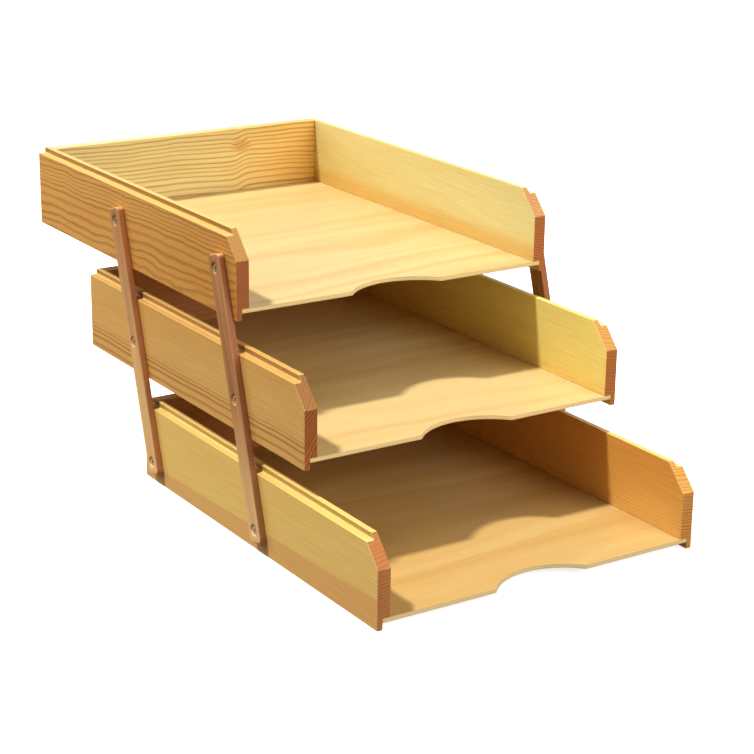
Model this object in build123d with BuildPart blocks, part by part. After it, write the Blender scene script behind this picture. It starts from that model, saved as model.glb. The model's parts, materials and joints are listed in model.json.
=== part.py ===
"""Three-tier letter tray: pine trays hung between four beech slats, which swing on countersunk screws.

The trays stay level while the slats lean: leant fully forward, the trays stack flush on one another, each
tongue on the ledge below. Millimetres, +X to the object's right seen from the front, +Y to the rear, +Z up.
The origin is on the table, at the middle of the object's length and width in its opened position.
"""

from build123d import *
from math import cos, hypot, radians, sin, tan
import os

# Tray, outside sizes
TIERS = ("bottom", "middle", "top")
TRAY_WIDTH = 262.0
TRAY_LENGTH = 324.0
SIDE_HEIGHT = 61.0
SIDE_THICKNESS = 10.0
BACK_THICKNESS = 10.0

# Side board: outer ledge along the top, outer tongue along the bottom, cut upper front corner
LEDGE_WIDTH = 5.5
LEDGE_DEPTH = 4.0
TONGUE_THICKNESS = 4.2
BASE_HEIGHT = 4.9
FRONT_CUT_LENGTH = 17.0
FRONT_CUT_HEIGHT = 19.0
EASED_EDGE = 0.6

# Plywood base with a finger scoop: a shallow circular arc
BASE_THICKNESS = 3.2
BASE_CLEARANCE = 0.1
SCOOP_RADIUS = 50.0
SCOOP_DEPTH = 17.0

# Slats and how they stand when the trays are opened out
SLAT_WIDTH = 15.0
SLAT_THICKNESS = 5.2
SLAT_END = 9.5
SLAT_GAP = 0.2
SLAT_CORNER = 3.0
SLAT_EASED_EDGE = 0.8
SLAT_LEAN = 16.5

# Pivots: each tray's screws sit further forward and higher than those of the tray below. The insets
# are from the top tray's front end and from the bottom tray's rear end
FRONT_PIVOT_INSET = 21.0
REAR_PIVOT_INSET = 20.0
PIVOT_HEIGHT = 17.7
PIVOT_STEP_FORWARD = 64.0
PIVOT_STEP_UP = 8.0

# Countersunk screw with a cross recess
SCREW_RADIUS = 1.75
SCREW_HEAD_RADIUS = 3.2
SCREW_HEAD_ANGLE = 90.0
SCREW_HEAD_RIM = 0.2
SCREW_HEAD_SUNK = 0.8
SCREW_GRIP = 7.8
SCREW_TIP = 1.6
RECESS_SPAN = 3.8
RECESS_SLOT = 0.8
RECESS_DEPTH = 1.1
RECESS_TAPER = 12.0
RUNNING_CLEARANCE = 0.09
FIXED_CLEARANCE = 0.03
HOLE_END_ROOM = 0.5

# Dowels between the back board and the sides
DOWEL_RADIUS = 2.5
DOWEL_IN_SIDE = 6.5
DOWEL_IN_BACK = 14.0
DOWEL_CHAMFER = 0.6
DOWEL_INSET = 14.0

# Panel pins up through the base
PIN_RADIUS = 0.6
PIN_HEAD_RADIUS = 1.2
PIN_HEAD_THICKNESS = 0.6
PIN_LENGTH = 10.0
PIN_POINT_CHAMFER = 0.4
PIN_END_INSET = 12.0
SIDE_PIN_COUNT = 4
BACK_PIN_COUNT = 3

# Sizes that follow from those above
BASE_TOP = BASE_HEIGHT + BASE_THICKNESS
PIN_HOLE_DEPTH = PIN_LENGTH + HOLE_END_ROOM
STACK_PITCH = SIDE_HEIGHT - LEDGE_DEPTH
PIVOT_PITCH = hypot(PIVOT_STEP_FORWARD, STACK_PITCH + PIVOT_STEP_UP)
TIER_STEP_BACK = PIVOT_PITCH * sin(radians(SLAT_LEAN)) + PIVOT_STEP_FORWARD
TIER_STEP_UP = PIVOT_PITCH * cos(radians(SLAT_LEAN)) - PIVOT_STEP_UP
TOTAL_LENGTH = TRAY_LENGTH + (len(TIERS) - 1) * TIER_STEP_BACK
FRONT_PIVOT = FRONT_PIVOT_INSET + (len(TIERS) - 1) * PIVOT_STEP_FORWARD
PIVOT_SPACING = TRAY_LENGTH - REAR_PIVOT_INSET - FRONT_PIVOT
SIDES = {"left": -1, "right": 1}
PIVOT_ROWS = {"front": 0.0, "rear": PIVOT_SPACING}
SIDE_OUTER = TRAY_WIDTH / 2
SIDE_INNER = SIDE_OUTER - SIDE_THICKNESS
TONGUE_INNER = SIDE_OUTER - TONGUE_THICKNESS
SLAT_OUTER = SIDE_OUTER + SLAT_GAP + SLAT_THICKNESS
RUNNING_RADIUS = SCREW_RADIUS + RUNNING_CLEARANCE
HEAD_SLOPE = tan(radians(SCREW_HEAD_ANGLE / 2))
COUNTERSINK_RADIUS = (
    SCREW_HEAD_RADIUS + (SCREW_HEAD_RIM + SCREW_HEAD_SUNK) * HEAD_SLOPE + RUNNING_CLEARANCE
)


def front_of(tier):
    """Y of a tray's front end."""
    return tier * TIER_STEP_BACK - TOTAL_LENGTH / 2


def foot_of(tier):
    """Z of a tray's lowest edge, the foot of its tongues."""
    return tier * TIER_STEP_UP


def pivot_point(tier, row):
    """(Y, Z) of a tray's front or rear pivot."""
    y = front_of(tier) + FRONT_PIVOT - tier * PIVOT_STEP_FORWARD + PIVOT_ROWS[row]
    return y, foot_of(tier) + PIVOT_HEIGHT + tier * PIVOT_STEP_UP


def section_plane(tier):
    """Upright plane across a tray's rear end, with local x along X and local y up from the tray's foot."""
    return Plane(origin=(0, front_of(tier) + TRAY_LENGTH, foot_of(tier)), x_dir=(1, 0, 0), z_dir=(0, -1, 0))


def profile_plane(tier):
    """Upright plane along a tray's middle, with local x to the rear from the front end and local y up."""
    return Plane(origin=(0, front_of(tier), foot_of(tier)), x_dir=(0, 1, 0), z_dir=(1, 0, 0))


def spread(first, last, count):
    """Evenly spaced places from first to last."""
    return [first + (last - first) * i / (count - 1) for i in range(count)]


def pin_places(tier):
    """(X, Y) of each panel pin: along both sides' rebates and along the back board."""
    front = front_of(tier)
    back_y = front + TRAY_LENGTH - BACK_THICKNESS / 2
    rebate_x = (TONGUE_INNER + SIDE_INNER) / 2
    rows = spread(front + PIN_END_INSET, back_y - PIN_END_INSET, SIDE_PIN_COUNT)
    along_sides = [(side * rebate_x, y) for side in SIDES.values() for y in rows]
    reach = SIDE_INNER - PIN_END_INSET
    return along_sides + [(x, back_y) for x in spread(-reach, reach, BACK_PIN_COUNT)]


def pin_circles(tier, radius):
    """A circle round each panel pin, on the underside of a tray's base."""
    with BuildSketch(Plane.XY.offset(foot_of(tier) + BASE_HEIGHT)) as circles:
        with Locations(*pin_places(tier)):
            Circle(radius)
    return circles.sketch


def dowel_circles(tier, side, radius):
    """A circle round each dowel of one rear corner, where the back board's end meets the side."""
    y = front_of(tier) + TRAY_LENGTH - BACK_THICKNESS / 2
    joint = Plane(origin=(side * SIDE_INNER, y, foot_of(tier)), x_dir=(0, side, 0), z_dir=(side, 0, 0))
    with BuildSketch(joint) as circles:
        with Locations((0, BASE_TOP + DOWEL_INSET), (0, SIDE_HEIGHT - DOWEL_INSET)):
            Circle(radius)
    return circles.sketch


def save(part, name):
    """Labels a finished piece and writes it."""
    part.label = name
    export_step(part, f"parts/{name}.step")


def make_side(tier, side_name):
    """Pine side board: one moulded section for its whole length, then the front cut and the holes."""
    side = SIDES[side_name]
    outline = (
        (SIDE_OUTER, 0),
        (SIDE_OUTER, STACK_PITCH),
        (SIDE_OUTER - LEDGE_WIDTH, STACK_PITCH),
        (SIDE_OUTER - LEDGE_WIDTH, SIDE_HEIGHT),
        (SIDE_INNER, SIDE_HEIGHT),
        (SIDE_INNER, BASE_TOP),
        (TONGUE_INNER, BASE_TOP),
        (TONGUE_INNER, 0),
    )
    eased = (outline[0], outline[1], outline[3], outline[4], outline[7])
    with BuildPart() as board:
        with BuildSketch(section_plane(tier)) as section:
            with BuildLine():
                Polyline(*[(side * x, z) for x, z in outline], close=True)
            make_face()
            corners = [v for v in section.vertices() if (side * v.X, v.Y) in eased]
            fillet(corners, radius=EASED_EDGE)
        extrude(amount=TRAY_LENGTH)
        with BuildSketch(profile_plane(tier)):
            with BuildLine():
                Polyline(
                    (0, SIDE_HEIGHT - FRONT_CUT_HEIGHT),
                    (FRONT_CUT_LENGTH, SIDE_HEIGHT),
                    (0, SIDE_HEIGHT),
                    close=True,
                )
            make_face()
        extrude(amount=SIDE_OUTER, both=True, mode=Mode.SUBTRACT)
        for row in PIVOT_ROWS:
            y, z = pivot_point(tier, row)
            with Locations(Plane(origin=(side * SIDE_OUTER, y, z), x_dir=(0, 1, 0), z_dir=(side, 0, 0))):
                Hole(radius=SCREW_RADIUS + FIXED_CLEARANCE, depth=SCREW_GRIP + FIXED_CLEARANCE)
        dowel_holes = dowel_circles(tier, side, DOWEL_RADIUS + FIXED_CLEARANCE)
        extrude(dowel_holes, amount=DOWEL_IN_SIDE + HOLE_END_ROOM, mode=Mode.SUBTRACT)
        extrude(pin_circles(tier, PIN_RADIUS + FIXED_CLEARANCE), amount=PIN_HOLE_DEPTH, mode=Mode.SUBTRACT)
    save(board.part, f"{TIERS[tier]}_{side_name}_side")


def make_back(tier):
    """Pine back board: stands on the base between the sides, level with their ridges."""
    with BuildPart() as board:
        with BuildSketch(section_plane(tier)):
            with Locations((0, BASE_TOP)):
                Rectangle(2 * SIDE_INNER, SIDE_HEIGHT - BASE_TOP, align=(Align.CENTER, Align.MIN))
        extrude(amount=BACK_THICKNESS)
        top_edges = board.faces().sort_by(Axis.Z)[-1].edges().filter_by(Axis.X)
        fillet(top_edges, radius=EASED_EDGE)
        for side in SIDES.values():
            dowel_holes = dowel_circles(tier, side, DOWEL_RADIUS + FIXED_CLEARANCE)
            extrude(dowel_holes, amount=-DOWEL_IN_BACK - HOLE_END_ROOM, mode=Mode.SUBTRACT)
        extrude(pin_circles(tier, PIN_RADIUS + FIXED_CLEARANCE), amount=PIN_HOLE_DEPTH, mode=Mode.SUBTRACT)
    save(board.part, f"{TIERS[tier]}_back_board")


def make_base(tier):
    """Birch plywood base: lies in the sides' rebates, with the finger scoop in its front edge."""
    front = front_of(tier)
    with BuildPart() as panel:
        with BuildSketch(Plane.XY.offset(foot_of(tier) + BASE_HEIGHT)):
            with Locations((0, front)):
                Rectangle(
                    2 * (TONGUE_INNER - BASE_CLEARANCE),
                    TRAY_LENGTH,
                    align=(Align.CENTER, Align.MIN),
                )
            with Locations((0, front + SCOOP_DEPTH - SCOOP_RADIUS)):
                Circle(SCOOP_RADIUS, mode=Mode.SUBTRACT)
        extrude(amount=BASE_THICKNESS)
        extrude(pin_circles(tier, PIN_RADIUS + FIXED_CLEARANCE), amount=BASE_THICKNESS, mode=Mode.SUBTRACT)
        head_seats = pin_circles(tier, PIN_HEAD_RADIUS + FIXED_CLEARANCE)
        extrude(head_seats, amount=PIN_HEAD_THICKNESS + FIXED_CLEARANCE, mode=Mode.SUBTRACT)
    save(panel.part, f"{TIERS[tier]}_base_panel")


def make_dowels(tier):
    """Beech dowels, two at each rear corner, half in the back board's end and half in the side."""
    with BuildPart() as dowels:
        for side in SIDES.values():
            circles = dowel_circles(tier, side, DOWEL_RADIUS)
            extrude(circles, amount=DOWEL_IN_SIDE)
            extrude(circles, amount=-DOWEL_IN_BACK)
        flats = dowels.faces().filter_by(GeomType.PLANE)
        ends = flats.filter_by(lambda face: abs(abs(face.center().X) - SIDE_INNER) > DOWEL_CHAMFER).edges()
        chamfer(ends, length=DOWEL_CHAMFER)
    save(dowels.part, f"{TIERS[tier]}_corner_dowels")


def make_pins(tier):
    """Flat-headed steel pins, driven up through the base, their heads flush with its underside."""
    with BuildPart() as pins:
        extrude(pin_circles(tier, PIN_HEAD_RADIUS), amount=PIN_HEAD_THICKNESS)
        extrude(pin_circles(tier, PIN_RADIUS), amount=PIN_LENGTH)
        points = pins.faces().group_by(Axis.Z)[-1].edges()
        chamfer(points, length=PIN_POINT_CHAMFER)
    save(pins.part, f"{TIERS[tier]}_base_pins")


def make_slat(side_name, row):
    """Beech slat: square ends with rounded corners, and three countersunk holes that turn on the screws."""
    side = SIDES[side_name]
    lean = radians(SLAT_LEAN)
    y, z = pivot_point(0, row)
    face = Plane(
        origin=(side * SLAT_OUTER, y, z),
        x_dir=(0, side * cos(lean), -side * sin(lean)),
        z_dir=(side, 0, 0),
    )
    reach = (len(TIERS) - 1) * PIVOT_PITCH
    with BuildPart(face) as slat:
        with BuildSketch(face):
            with Locations((0, reach / 2)):
                RectangleRounded(SLAT_WIDTH, reach + 2 * SLAT_END, SLAT_CORNER)
        extrude(amount=-SLAT_THICKNESS)
        rims = slat.faces().filter_by(Axis.X).edges()
        fillet(rims, radius=SLAT_EASED_EDGE)
        with Locations(*[(0, i * PIVOT_PITCH) for i in range(len(TIERS))]):
            CounterSinkHole(
                radius=RUNNING_RADIUS,
                counter_sink_radius=COUNTERSINK_RADIUS,
                counter_sink_angle=SCREW_HEAD_ANGLE,
            )
    save(slat.part, f"{row}_{side_name}_slat")


def make_screw(tier, side_name, row):
    """Countersunk brass wood screw: sunk head with a cross recess, plain shank, pointed tip."""
    side = SIDES[side_name]
    y, z = pivot_point(tier, row)
    head_top = side * (SLAT_OUTER - SCREW_HEAD_SUNK)
    length = SLAT_THICKNESS - SCREW_HEAD_SUNK + SLAT_GAP + SCREW_GRIP
    neck = SCREW_HEAD_RIM + (SCREW_HEAD_RADIUS - SCREW_RADIUS) / HEAD_SLOPE
    with BuildPart() as screw:
        with BuildSketch(Plane(origin=(head_top, y, z), x_dir=(0, 1, 0), z_dir=(0, 0, -side))):
            with BuildLine():
                Polyline(
                    (0, 0),
                    (SCREW_HEAD_RADIUS, 0),
                    (SCREW_HEAD_RADIUS, -SCREW_HEAD_RIM),
                    (SCREW_RADIUS, -neck),
                    (SCREW_RADIUS, -length + SCREW_TIP),
                    (0, -length),
                    close=True,
                )
            make_face()
        revolve(axis=Axis((head_top, y, z), (side, 0, 0)))
        with BuildSketch(Plane(origin=(head_top, y, z), x_dir=(0, 1, 0), z_dir=(side, 0, 0))):
            Rectangle(RECESS_SPAN, RECESS_SLOT)
            Rectangle(RECESS_SLOT, RECESS_SPAN)
        extrude(amount=-RECESS_DEPTH, taper=RECESS_TAPER, mode=Mode.SUBTRACT)
    save(screw.part, f"{TIERS[tier]}_{row}_{side_name}_screw")


os.makedirs("parts", exist_ok=True)
for tier in range(len(TIERS)):
    make_back(tier)
    make_base(tier)
    make_dowels(tier)
    make_pins(tier)
    for side_name in SIDES:
        make_side(tier, side_name)
        for row in PIVOT_ROWS:
            make_screw(tier, side_name, row)
for side_name in SIDES:
    for row in PIVOT_ROWS:
        make_slat(side_name, row)
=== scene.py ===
import bmesh
import bpy
import json
from math import atan2, radians
from mathutils import Matrix, Vector


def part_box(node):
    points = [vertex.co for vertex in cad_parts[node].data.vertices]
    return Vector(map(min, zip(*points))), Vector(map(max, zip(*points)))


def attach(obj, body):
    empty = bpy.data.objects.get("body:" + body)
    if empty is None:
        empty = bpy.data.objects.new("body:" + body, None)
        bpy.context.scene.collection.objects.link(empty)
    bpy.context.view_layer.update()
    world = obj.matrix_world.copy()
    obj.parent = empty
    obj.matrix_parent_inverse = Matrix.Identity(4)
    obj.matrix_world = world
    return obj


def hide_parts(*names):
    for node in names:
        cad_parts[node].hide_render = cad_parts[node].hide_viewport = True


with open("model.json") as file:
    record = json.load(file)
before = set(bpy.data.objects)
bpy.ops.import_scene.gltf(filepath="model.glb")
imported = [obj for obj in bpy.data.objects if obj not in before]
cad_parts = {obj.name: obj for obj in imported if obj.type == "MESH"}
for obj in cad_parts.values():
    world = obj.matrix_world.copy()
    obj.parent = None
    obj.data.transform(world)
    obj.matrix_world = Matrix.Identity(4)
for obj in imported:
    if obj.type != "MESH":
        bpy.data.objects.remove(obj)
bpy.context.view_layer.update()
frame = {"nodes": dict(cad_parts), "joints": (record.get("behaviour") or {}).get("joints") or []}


# Camera: a long lens about a metre and a quarter off the front left corner, looking a little down on the
# trays, so that they hardly taper. It is held very slightly out of level.
camera_place = Vector((-0.7701, -1.2291, 0.5569))
camera_heading = Matrix.Rotation(radians(-33.079), 4, "Z")
camera_tilt = Matrix.Rotation(radians(71.687), 4, "X")
camera_roll = Matrix.Rotation(radians(0.748), 4, "Z")
camera_lens = 96.52
camera_film = 36.0

bpy.ops.object.select_all(action="DESELECT")
bpy.ops.object.camera_add()
camera = bpy.context.object
camera.matrix_world = Matrix.Translation(camera_place) @ camera_heading @ camera_tilt @ camera_roll
camera.data.lens = camera_lens
camera.data.sensor_width = camera_film
bpy.context.scene.camera = camera


# Studio: a white table that runs out of sight, one lamp high at the left and a little behind the trays, soft
# lights in front, behind at the left and overhead, and a warm room whose upper walls shine white in the
# varnish. The picture is kept plain, as it comes from the camera.
table_size = 60.0
lamp_course = Vector((0.436, -0.168, -1.0))
lamp_spread = radians(5)
lamp_strength = 3.6
lamp_colour = (1.0, 0.975, 0.94)
soft_lights = {
    "front": (Vector((0.9, -2.6, 1.3)), 1.6, 50.0, (1.0, 0.98, 0.96)),
    "rear_left": (Vector((-0.75, 0.75, 0.45)), 0.7, 4.2, (1.0, 0.97, 0.93)),
    "overhead": (Vector((0.3, -0.3, 2.2)), 1.6, 10.0, (1.0, 0.97, 0.94)),
}
room_colour = (1.0, 0.80, 0.68)
room_strength = 0.2
shine_strength = 0.7
shine_foot = -0.05
shine_full = 0.1
backdrop_strength = 1.0
table_white = (0.85, 0.85, 0.85)
table_glow = 0.75
table_roughness = 0.9
table_shine = 0.1

bpy.context.scene.view_settings.view_transform = "Standard"

bpy.ops.object.select_all(action="DESELECT")
bpy.ops.mesh.primitive_plane_add(size=table_size)
table = bpy.context.object
table.name = "white_table"
table_paint = bpy.data.materials.new("table_paint")
table_paint.use_nodes = True
table_surface = table_paint.node_tree.nodes["Principled BSDF"]
table_surface.inputs["Base Color"].default_value = (*table_white, 1)
table_surface.inputs["Roughness"].default_value = table_roughness
table_surface.inputs["Specular IOR Level"].default_value = table_shine
table_surface.inputs["Emission Color"].default_value = (1, 1, 1, 1)
table_surface.inputs["Emission Strength"].default_value = table_glow
table.data.materials.append(table_paint)
table.visible_diffuse = False
table.visible_glossy = False

bpy.ops.object.light_add(type="SUN")
lamp = bpy.context.object
lamp.rotation_euler = lamp_course.to_track_quat("-Z", "Y").to_euler()
lamp.data.energy = lamp_strength
lamp.data.angle = lamp_spread
lamp.data.color = lamp_colour

for place, size, power, light_colour in soft_lights.values():
    bpy.ops.object.light_add(type="AREA", location=place)
    soft_light = bpy.context.object
    soft_light.rotation_euler = (-place).to_track_quat("-Z", "Y").to_euler()
    soft_light.data.shape = "DISK"
    soft_light.data.size = size
    soft_light.data.energy = power
    soft_light.data.color = light_colour
    soft_light.visible_glossy = False

room = bpy.data.worlds.new("room")
room.use_nodes = True
bpy.context.scene.world = room
room_nodes = room.node_tree.nodes
room_links = room.node_tree.links
room_light = room_nodes["Background"]
room_light.inputs["Color"].default_value = (*room_colour, 1)
room_light.inputs["Strength"].default_value = room_strength
backdrop = room_nodes.new("ShaderNodeBackground")
backdrop.inputs["Strength"].default_value = backdrop_strength
backdrop.inputs["Color"].default_value = (1, 1, 1, 1)
white_walls = room_nodes.new("ShaderNodeBackground")
white_walls.inputs["Strength"].default_value = shine_strength
white_walls.inputs["Color"].default_value = (1, 1, 1, 1)
light_path = room_nodes.new("ShaderNodeLightPath")
outlook = room_nodes.new("ShaderNodeTexCoord")
outlook_parts = room_nodes.new("ShaderNodeSeparateXYZ")
room_links.new(outlook.outputs["Generated"], outlook_parts.inputs[0])
upper_walls = room_nodes.new("ShaderNodeMapRange")
upper_walls.inputs["From Min"].default_value = shine_foot
upper_walls.inputs["From Max"].default_value = shine_full
room_links.new(outlook_parts.outputs["Z"], upper_walls.inputs["Value"])
shone_share = room_nodes.new("ShaderNodeMath")
shone_share.operation = "MULTIPLY"
room_links.new(light_path.outputs["Is Glossy Ray"], shone_share.inputs[0])
room_links.new(upper_walls.outputs["Result"], shone_share.inputs[1])
lit_or_shone = room_nodes.new("ShaderNodeMixShader")
room_links.new(shone_share.outputs["Value"], lit_or_shone.inputs["Fac"])
room_links.new(room_light.outputs["Background"], lit_or_shone.inputs[1])
room_links.new(white_walls.outputs["Background"], lit_or_shone.inputs[2])
lit_or_seen = room_nodes.new("ShaderNodeMixShader")
room_links.new(light_path.outputs["Is Camera Ray"], lit_or_seen.inputs["Fac"])
room_links.new(lit_or_shone.outputs["Shader"], lit_or_seen.inputs[1])
room_links.new(backdrop.outputs["Background"], lit_or_seen.inputs[2])
room_links.new(lit_or_seen.outputs["Shader"], room_nodes["World Output"].inputs["Surface"])


# Side boards: six pine boards, each run through a moulder for its whole length, which leaves a ledge along
# its outer top edge and a tongue along its outer foot. The upper front corner is sawn off, the arrises are
# eased by hand, and the varnish is honey-coloured.
tiers = ("bottom", "middle", "top")
sides = ("left", "right")
ledge_width = 0.0055
ledge_depth = 0.004
tongue_thickness = 0.0042
front_cut_length = 0.017
front_cut_height = 0.019
side_arris = 0.0008
side_arris_steps = 4
moulding_fillet = 0.0009
moulding_fillet_steps = 4
riser_slack = moulding_fillet / 20
sharp_turn = radians(25)
squarely = 0.9


def block(name, low, high):
    """A plain block between two corners, left in edit mode to be shaped."""
    bpy.ops.object.select_all(action="DESELECT")
    bpy.ops.mesh.primitive_cube_add(size=1, location=(low + high) / 2, scale=high - low)
    piece = bpy.context.object
    piece.name = name
    bpy.ops.object.transform_apply(location=True, rotation=True, scale=True)
    bpy.ops.object.mode_set(mode="EDIT")
    return piece


def pick_faces(piece, wanted):
    """Selects the faces of the piece in hand whose middle and normal are wanted."""
    bpy.ops.mesh.select_all(action="DESELECT")
    mesh = bmesh.from_edit_mesh(piece.data)
    for face in mesh.faces:
        if wanted(face.calc_center_median(), face.normal):
            face.select_set(True)
    bmesh.update_edit_mesh(piece.data)


def pick_arrises(piece, wanted=lambda middle, run: True, hollow=False):
    """Selects the sharp outer edges, or the hollow ones, of the piece in hand whose middle and direction are
    wanted."""
    bpy.ops.mesh.select_all(action="DESELECT")
    mesh = bmesh.from_edit_mesh(piece.data)
    for edge in mesh.edges:
        start, end = (corner.co for corner in edge.verts)
        sharp = edge.is_manifold and edge.is_convex != hollow and edge.calc_face_angle() > sharp_turn
        if sharp and wanted((start + end) / 2, (end - start).normalized()):
            edge.select_set(True)
    bmesh.update_edit_mesh(piece.data)


def saw(place, course, part_off=False):
    """Saws through all of the piece in hand. With part_off, what lies on the course's side falls away."""
    bpy.ops.mesh.select_all(action="SELECT")
    bpy.ops.mesh.bisect(plane_co=place, plane_no=course, use_fill=part_off, clear_outer=part_off)


def draw_out(course):
    """Draws the picked faces out along a course."""
    bpy.ops.mesh.extrude_region_move(TRANSFORM_OT_translate={"value": course})


def ease(piece, width, steps):
    """Rounds the picked arrises, and notes them on the mesh to be painted lighter: partly from hands and
    cloths rubbing them, partly as painted highlight where the rounded arrises catch the light.
    """
    bpy.ops.mesh.bevel(offset=width, segments=steps, affect="EDGES", clamp_overlap=True)
    mesh = bmesh.from_edit_mesh(piece.data)
    rubbed_and_lit = mesh.verts.layers.float.get("rubbed_and_lit") or mesh.verts.layers.float.new("rubbed_and_lit")
    narrow = {face for face in mesh.faces if face.calc_area() < width * face.calc_perimeter() / 2}
    for corner in mesh.verts:
        if all(face in narrow for face in corner.link_faces):
            corner[rubbed_and_lit] = 1.0
    bmesh.update_edit_mesh(piece.data)


def copy_of(piece, name, move, mirrored=False, turn=0.0):
    """A copy of a finished piece with its own mesh: turned about X, mirrored to the other side if asked, and
    moved."""
    bpy.ops.object.select_all(action="DESELECT")
    twin = piece.copy()
    twin.data = piece.data.copy()
    twin.name = name
    bpy.context.scene.collection.objects.link(twin)
    bpy.context.view_layer.objects.active = twin
    twin.select_set(True)
    twin.location = move
    twin.rotation_euler.x = turn
    twin.scale.x = -1 if mirrored else 1
    bpy.ops.object.transform_apply(location=True, rotation=True, scale=True)
    bpy.ops.object.mode_set(mode="EDIT")
    bpy.ops.mesh.select_all(action="SELECT")
    bpy.ops.mesh.normals_make_consistent(inside=False)
    bpy.ops.object.mode_set(mode="OBJECT")
    return twin


side_low, side_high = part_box("bottom_left_side")
base_low, base_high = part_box("bottom_base_panel")
tongue_inner = side_low.x + tongue_thickness
ridge_outer = side_low.x + ledge_width
ledge_top = side_high.z - ledge_depth
plain_low = Vector((side_low.x, side_low.y, base_high.z))
plain_high = Vector((side_high.x, side_high.y, ledge_top))
side_board = block("bottom_left_side_board", plain_low, plain_high)
saw((tongue_inner, 0, 0), (1, 0, 0))
saw((ridge_outer, 0, 0), (1, 0, 0))
pick_faces(side_board, lambda middle, normal: normal.z < -squarely and middle.x < tongue_inner)
draw_out((0, 0, side_low.z - base_high.z))
pick_faces(side_board, lambda middle, normal: normal.z > squarely and middle.x > ridge_outer)
draw_out((0, 0, ledge_depth))
cut_foot = Vector((0, side_low.y, side_high.z - front_cut_height))
saw(cut_foot, (0, -front_cut_height, front_cut_length), part_off=True)
pick_arrises(side_board, lambda middle, run: middle.z > ledge_top - side_arris, hollow=True)
bpy.ops.mesh.bevel(offset=moulding_fillet, segments=moulding_fillet_steps, affect="EDGES")
pick_arrises(side_board)
ease(side_board, side_arris, side_arris_steps)
# Each ledge's riser is noted on the mesh and painted darker: painted shade, standing in for the shadow that
# the tray above throws on the ridge and riser.
side_mesh = bmesh.from_edit_mesh(side_board.data)
riser_painted_shade = side_mesh.verts.layers.float.new("riser_painted_shade")
for corner in side_mesh.verts:
    on_riser = abs(corner.co.x - ridge_outer) < riser_slack
    corner[riser_painted_shade] = 1.0 if on_riser and corner.co.z > ledge_top else 0.0
bmesh.update_edit_mesh(side_board.data)
bpy.ops.object.mode_set(mode="OBJECT")


def linear(red, green, blue):
    """A colour given as it looks on a screen, 0 to 255, as the shader's light values."""
    light = [(c / 255 / 12.92) if c < 11 else ((c / 255 + 0.055) / 1.055) ** 2.4 for c in (red, green, blue)]
    return (*light, 1)


def share_of(tone, share):
    """A deeper tone: a share of one given as it looks on a screen."""
    return linear(*[share * value for value in tone])


def new_finish(name):
    """An empty finish: the material, its nodes and its shader."""
    material = bpy.data.materials.new(name)
    material.use_nodes = True
    return material, material.node_tree, material.node_tree.nodes["Principled BSDF"]


def step(tree, kind, inputs, **settings):
    """One shader node. Each input is given a plain value or the output that feeds it."""
    node = tree.nodes.new(kind)
    for name, value in settings.items():
        setattr(node, name, value)
    for name, value in inputs.items():
        if isinstance(value, bpy.types.NodeSocket):
            tree.links.new(value, node.inputs[name])
        else:
            node.inputs[name].default_value = value
    return node


def reckon(tree, operation, first, second=0.0):
    """One sum on numbers or outputs."""
    return step(tree, "ShaderNodeMath", {0: first, 1: second}, operation=operation).outputs[0]


def shift(tree, operation, first, second=(0, 0, 0)):
    """One sum on places."""
    node = step(tree, "ShaderNodeVectorMath", {0: first, 1: second}, operation=operation)
    return node.outputs["Value" if operation == "LENGTH" else "Vector"]


def spread(tree, value, low, high, start=0.0, end=1.0, kind="LINEAR"):
    """Carries a value's range from low to high over to the range from start to end, and stops at its ends."""
    inputs = {"Value": value, "From Min": low, "From Max": high, "To Min": start, "To Max": end}
    return step(tree, "ShaderNodeMapRange", inputs, interpolation_type=kind).outputs["Result"]


def cloud(tree, place, along, across, detail=2.0, roughness=0.5, seed=0.0):
    """Soft random patches, drawn out along the grain: counts per metre along it and across it."""
    drawn = shift(tree, "MULTIPLY", place, (along, across, across))
    inputs = {"Vector": drawn, "W": seed, "Scale": 1.0, "Detail": detail, "Roughness": roughness}
    return step(tree, "ShaderNodeTexNoise", inputs, noise_dimensions="4D")


def tint(tree, share, first, second, blend="MIX"):
    """Lays a share of the second colour on the first."""
    node = step(tree, "ShaderNodeMix", {}, data_type="RGBA", blend_type=blend, clamp_factor=True)
    for number, value in ((0, share), (6, first), (7, second)):
        if isinstance(value, bpy.types.NodeSocket):
            tree.links.new(value, node.inputs[number])
        else:
            node.inputs[number].default_value = value
    return node.outputs[2]


def place_and_facing(tree, middle):
    """Where a point lies from a piece's middle, and how far its surface looks along each axis."""
    given = tree.nodes.new("ShaderNodeTexCoord").outputs
    centred = step(tree, "ShaderNodeMapping", {"Vector": given["Object"], "Location": -middle})
    return centred.outputs[0], step(tree, "ShaderNodeSeparateXYZ", {0: given["Normal"]}).outputs


def moved_across(tree, place, distance):
    """A place moved by a distance across the grain."""
    return shift(tree, "ADD", place, step(tree, "ShaderNodeCombineXYZ", {1: distance}).outputs[0])


def noted(tree, mark):
    """What the mesh has noted under a mark."""
    return step(tree, "ShaderNodeAttribute", {}, attribute_name=mark).outputs["Fac"]


fibre_span = (0.3, 0.7)


def fibre_shade(tree, fibres, dark, light):
    """The slight darkening and lightening that single fibres give a colour."""
    shade = spread(tree, fibres, *fibre_span, dark, light)
    return step(tree, "ShaderNodeCombineColor", {0: shade, 1: shade, 2: shade}).outputs[0]


def lay_on(tree, surface, colour, roughness, height, relief, strength):
    """Gives a surface its colour, its roughness and a fine relief."""
    tree.links.new(colour, surface.inputs["Base Color"])
    tree.links.new(roughness, surface.inputs["Roughness"])
    bump = step(tree, "ShaderNodeBump", {"Height": height, "Distance": relief, "Strength": strength})
    tree.links.new(bump.outputs["Normal"], surface.inputs["Normal"])


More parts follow.
